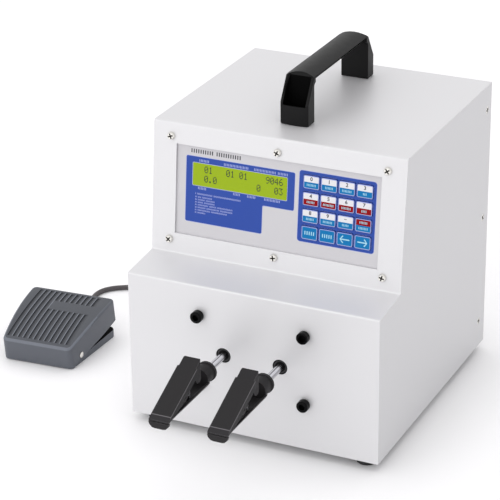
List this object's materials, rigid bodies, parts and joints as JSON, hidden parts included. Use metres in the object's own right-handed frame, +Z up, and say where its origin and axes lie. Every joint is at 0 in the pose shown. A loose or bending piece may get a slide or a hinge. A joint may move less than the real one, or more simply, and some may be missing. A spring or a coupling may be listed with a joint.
{
  "type": "wire twisting machine",
  "caption": "Bench machine with two geared spindles in front, each with a sprung clip for the wire ends, keys and a display above them, a carrying handle and a foot pedal.",
  "frame": {"origin": "middle of the footprint of the machine and its pedal, on the table; the cord is left out of it", "axes": "+X to the machine's right, across its front; +Y to its rear; +Z up. The pedal stands at -X"},
  "size_m": [0.3872, 0.4558, 0.2902],
  "materials": {
    "white_coat": "fine powder coat, white",
    "sheet": "galvanised sheet",
    "grey_plate": "matt, pale grey",
    "display": "gloss, yellow-green",
    "board": "green solder mask",
    "cyan_key": "satin, cyan",
    "red_key": "satin, red",
    "cast_metal": "as cast",
    "supply_case": "plain",
    "steel": "ground",
    "nickel": "nickel plated",
    "black_steel": "black oxide",
    "gear_steel": "hobbed",
    "black_plastic": "fine texture, black",
    "charcoal_plastic": "satin, charcoal",
    "grey_plastic": "fine texture, grey",
    "rubber": "matt, black",
    "cord_jacket": "matt, dark grey"
  },
  "bodies": {
    "machine": {"housing_shell": "white_coat", "rear_chassis": "sheet", "control_plate": "grey_plate", "lcd_module": "display", "control_board": "board", "power_supply": "supply_case", "drive_frame": "cast_metal", "motor": "black_steel", "bearing_left": "black_steel", "bearing_right": "black_steel", "handle": "black_plastic", "power_inlet": "black_plastic", "pedal_socket": "black_plastic", "pedal_base": "grey_plastic", "cord_run": "cord_jacket", "cord_coil": "cord_jacket", "cord_tail": "cord_jacket", "cap_screw_upper_left": "black_steel", "cap_screw_upper_right": "black_steel", "cap_screw_lower_left": "black_steel", "cap_screw_lower_right": "black_steel", "panel_screw_top_left": "nickel", "panel_screw_top_middle": "nickel", "panel_screw_top_right": "nickel", "panel_screw_bottom_left": "nickel", "panel_screw_bottom_middle": "nickel", "panel_screw_bottom_right": "nickel", "foot_front_left": "rubber", "foot_front_right": "rubber", "foot_rear_left": "rubber", "foot_rear_right": "rubber"},
    "spindle_left": {"spindle_left": "steel", "gear_left": "gear_steel", "clip_body_left": "charcoal_plastic", "clip_spring_left": "steel"},
    "spindle_right": {"spindle_right": "steel", "gear_right": "gear_steel", "clip_body_right": "charcoal_plastic", "clip_spring_right": "steel"},
    "pinion": {"pinion": "gear_steel"},
    "clip_lever_left": {"clip_lever_left": "charcoal_plastic"},
    "clip_lever_right": {"clip_lever_right": "charcoal_plastic"},
    "pedal_cover": {"pedal_cover": "grey_plastic"},
    "power_switch": {"power_switch": "black_plastic"},
    "key_1": {"key_1": "cyan_key"},
    "key_2": {"key_2": "cyan_key"},
    "key_3": {"key_3": "cyan_key"},
    "key_4": {"key_4": "cyan_key"},
    "key_5": {"key_5": "red_key"},
    "key_6": {"key_6": "red_key"},
    "key_7": {"key_7": "red_key"},
    "key_8": {"key_8": "red_key"},
    "key_9": {"key_9": "cyan_key"},
    "key_10": {"key_10": "cyan_key"},
    "key_11": {"key_11": "cyan_key"},
    "key_12": {"key_12": "cyan_key"},
    "key_13": {"key_13": "red_key"},
    "key_14": {"key_14": "red_key"},
    "key_15": {"key_15": "red_key"},
    "key_16": {"key_16": "red_key"}
  },
  "joints": [
    {"name": "spindle_right_spin", "type": "hinge", "parent": "machine", "child": "spindle_right", "pos_m": [0.10861, -0.0753, 0.0772], "axis": [0, 1, 0], "continuous": true},
    {"name": "spindle_left_spin", "type": "hinge", "parent": "machine", "child": "spindle_left", "pos_m": [0.05861, -0.0753, 0.0772], "axis": [0, 1, 0], "continuous": true},
    {"name": "pinion_spin", "type": "hinge", "parent": "machine", "child": "pinion", "pos_m": [0.08361, -0.0753, 0.0772], "axis": [0, 1, 0], "continuous": true},
    {"name": "clip_left_open", "type": "hinge", "parent": "spindle_left", "child": "clip_lever_left", "pos_m": [0.05861, -0.1593, 0.0818], "axis": [-1, 0, 0], "range_deg": [0, 14], "stiffness_Nm_per_rad": 0.6, "deforming": ["clip_spring_left"]},
    {"name": "clip_right_open", "type": "hinge", "parent": "spindle_right", "child": "clip_lever_right", "pos_m": [0.10861, -0.1593, 0.0818], "axis": [-1, 0, 0], "range_deg": [0, 14], "stiffness_Nm_per_rad": 0.6, "deforming": ["clip_spring_right"]},
    {"name": "pedal_press", "type": "hinge", "parent": "machine", "child": "pedal_cover", "pos_m": [-0.15036, -0.00733, 0.0092], "axis": [-0.9976, -0.0698, 0], "range_deg": [0, 5], "stiffness_Nm_per_rad": 6},
    {"name": "power_switch_rock", "type": "hinge", "parent": "machine", "child": "power_switch", "pos_m": [0.14361, 0.1678, 0.11], "axis": [1, 0, 0], "range_deg": [0, 9]},
    {"name": "key_1_press", "type": "slide", "parent": "machine", "child": "key_1", "axis": [0, 0.9948, -0.102], "range_m": [0, 0.0004], "stiffness_N_per_m": 500},
    {"name": "key_2_press", "type": "slide", "parent": "machine", "child": "key_2", "axis": [0, 0.9948, -0.102], "range_m": [0, 0.0004], "stiffness_N_per_m": 500},
    {"name": "key_3_press", "type": "slide", "parent": "machine", "child": "key_3", "axis": [0, 0.9948, -0.102], "range_m": [0, 0.0004], "stiffness_N_per_m": 500},
    {"name": "key_4_press", "type": "slide", "parent": "machine", "child": "key_4", "axis": [0, 0.9948, -0.102], "range_m": [0, 0.0004], "stiffness_N_per_m": 500},
    {"name": "key_5_press", "type": "slide", "parent": "machine", "child": "key_5", "axis": [0, 0.9948, -0.102], "range_m": [0, 0.0004], "stiffness_N_per_m": 500},
    {"name": "key_6_press", "type": "slide", "parent": "machine", "child": "key_6", "axis": [0, 0.9948, -0.102], "range_m": [0, 0.0004], "stiffness_N_per_m": 500},
    {"name": "key_7_press", "type": "slide", "parent": "machine", "child": "key_7", "axis": [0, 0.9948, -0.102], "range_m": [0, 0.0004], "stiffness_N_per_m": 500},
    {"name": "key_8_press", "type": "slide", "parent": "machine", "child": "key_8", "axis": [0, 0.9948, -0.102], "range_m": [0, 0.0004], "stiffness_N_per_m": 500},
    {"name": "key_9_press", "type": "slide", "parent": "machine", "child": "key_9", "axis": [0, 0.9948, -0.102], "range_m": [0, 0.0004], "stiffness_N_per_m": 500},
    {"name": "key_10_press", "type": "slide", "parent": "machine", "child": "key_10", "axis": [0, 0.9948, -0.102], "range_m": [0, 0.0004], "stiffness_N_per_m": 500},
    {"name": "key_11_press", "type": "slide", "parent": "machine", "child": "key_11", "axis": [0, 0.9948, -0.102], "range_m": [0, 0.0004], "stiffness_N_per_m": 500},
    {"name": "key_12_press", "type": "slide", "parent": "machine", "child": "key_12", "axis": [0, 0.9948, -0.102], "range_m": [0, 0.0004], "stiffness_N_per_m": 500},
    {"name": "key_13_press", "type": "slide", "parent": "machine", "child": "key_13", "axis": [0, 0.9948, -0.102], "range_m": [0, 0.0004], "stiffness_N_per_m": 500},
    {"name": "key_14_press", "type": "slide", "parent": "machine", "child": "key_14", "axis": [0, 0.9948, -0.102], "range_m": [0, 0.0004], "stiffness_N_per_m": 500},
    {"name": "key_15_press", "type": "slide", "parent": "machine", "child": "key_15", "axis": [0, 0.9948, -0.102], "range_m": [0, 0.0004], "stiffness_N_per_m": 500},
    {"name": "key_16_press", "type": "slide", "parent": "machine", "child": "key_16", "axis": [0, 0.9948, -0.102], "range_m": [0, 0.0004], "stiffness_N_per_m": 500}
  ],
  "couplings": [
    {"joint": "spindle_left_spin", "follows": "spindle_right_spin", "ratio": 1},
    {"joint": "pinion_spin", "follows": "spindle_right_spin", "ratio": -2.5714}
  ]
}
